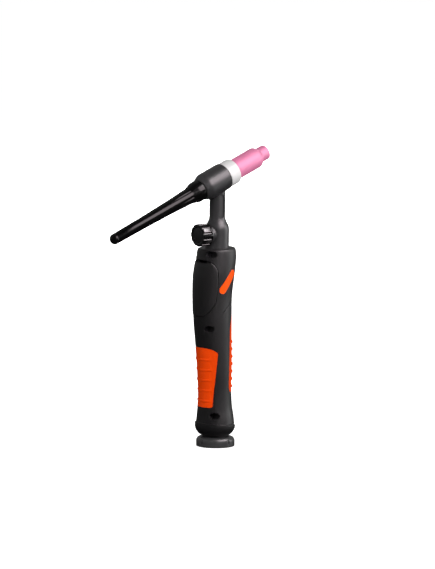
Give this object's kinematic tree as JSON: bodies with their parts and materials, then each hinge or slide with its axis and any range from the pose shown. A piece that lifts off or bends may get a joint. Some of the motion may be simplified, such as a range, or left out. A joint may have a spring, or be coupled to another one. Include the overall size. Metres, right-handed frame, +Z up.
{
  "type": "tig torch",
  "caption": "Hand-held TIG welding torch: ceramic cup, long back cap, gas valve knob on the neck, two-shell padded grip and a ball-jointed cable sleeve.",
  "frame": {"origin": "centre of the cable sleeve's open mouth, at the torch's lower end", "axes": "+Z up the grip and neck, +X to the cup side, so the knob and back cap lie to -X; Y across the grip"},
  "size_m": [0.1909, 0.039, 0.287],
  "materials": {
    "brass": "machined",
    "copper": "machined",
    "tungsten": "ground",
    "steel": "plated",
    "head_moulding": "satin silicone moulding",
    "white_ptfe": "smooth",
    "pink_alumina": "fired alumina ceramic",
    "gloss_phenolic": "polished",
    "satin_black": "satin",
    "grip_moulding": "fine spark-eroded texture",
    "orange_rubber": "matt overmould",
    "orange_badge": "smooth, bare",
    "seal_rubber": "matt"
  },
  "bodies": {
    "grip": {"head_core": "brass", "neck_tube": "copper", "valve_block": "brass", "power_stem": "brass", "head_cover": "head_moulding", "collet_body": "copper", "collet": "copper", "gland_nut": "brass", "shell_left": "grip_moulding", "shell_right": "grip_moulding", "shell_screws": "steel", "trigger_blank": "grip_moulding", "palm_pad": "orange_rubber", "finger_pad": "orange_rubber", "badge": "orange_badge", "rear_collar": "grip_moulding", "seat_clip": "steel"},
    "cup_carrier": {"cup_gasket": "white_ptfe"},
    "cup": {"nozzle": "pink_alumina"},
    "cap_carrier": {"back_cap_o_ring": "seal_rubber"},
    "cap": {"back_cap": "gloss_phenolic"},
    "tungsten": {"electrode": "tungsten"},
    "valve_carrier": {"spindle_o_ring": "seal_rubber"},
    "knob": {"valve_spindle": "steel", "valve_knob": "gloss_phenolic", "knob_screw": "steel", "knob_cap": "satin_black"},
    "seat": {"ball_seat": "white_ptfe"},
    "swivel": {"swivel_ball": "satin_black", "cable_sleeve": "satin_black"}
  },
  "joints": [
    {"name": "cup_travel", "type": "slide", "parent": "grip", "child": "cup_carrier", "axis": [0.9336, 0, 0.3584], "range_m": [0, 0.0046]},
    {"name": "cup_turn", "type": "hinge", "parent": "cup_carrier", "child": "cup", "pos_m": [0, 0, 0.258], "axis": [0.9336, 0, 0.3584], "range_deg": [0, 1080]},
    {"name": "cap_travel", "type": "slide", "parent": "grip", "child": "cap_carrier", "axis": [-0.9336, 0, -0.3584], "range_m": [0, 0.0046]},
    {"name": "cap_turn", "type": "hinge", "parent": "cap_carrier", "child": "cap", "pos_m": [0, 0, 0.258], "axis": [-0.9336, 0, -0.3584], "range_deg": [0, 1080]},
    {"name": "electrode_slide", "type": "slide", "parent": "grip", "child": "tungsten", "axis": [0.9336, 0, 0.3584], "range_m": [0, 0.01]},
    {"name": "valve_travel", "type": "slide", "parent": "grip", "child": "valve_carrier", "axis": [-1, 0, 0], "range_m": [0, 0.00121]},
    {"name": "knob_turn", "type": "hinge", "parent": "valve_carrier", "child": "knob", "pos_m": [0, 0, 0.2058], "axis": [-1, 0, 0], "range_deg": [0, 540]},
    {"name": "swivel_spin", "type": "hinge", "parent": "grip", "child": "seat", "pos_m": [0, 0, 0.015], "axis": [0, 0, 1], "range_deg": [-180, 180]},
    {"name": "swivel_tilt", "type": "hinge", "parent": "seat", "child": "swivel", "pos_m": [0, 0, 0.015], "axis": [0, 1, 0], "range_deg": [-8, 8]}
  ],
  "couplings": [
    {"joint": "cup_travel", "follows": "cup_turn", "m_per_rad": 0.00023873},
    {"joint": "cap_travel", "follows": "cap_turn", "m_per_rad": 0.00023873},
    {"joint": "valve_travel", "follows": "knob_turn", "m_per_rad": 0.00012732}
  ]
}
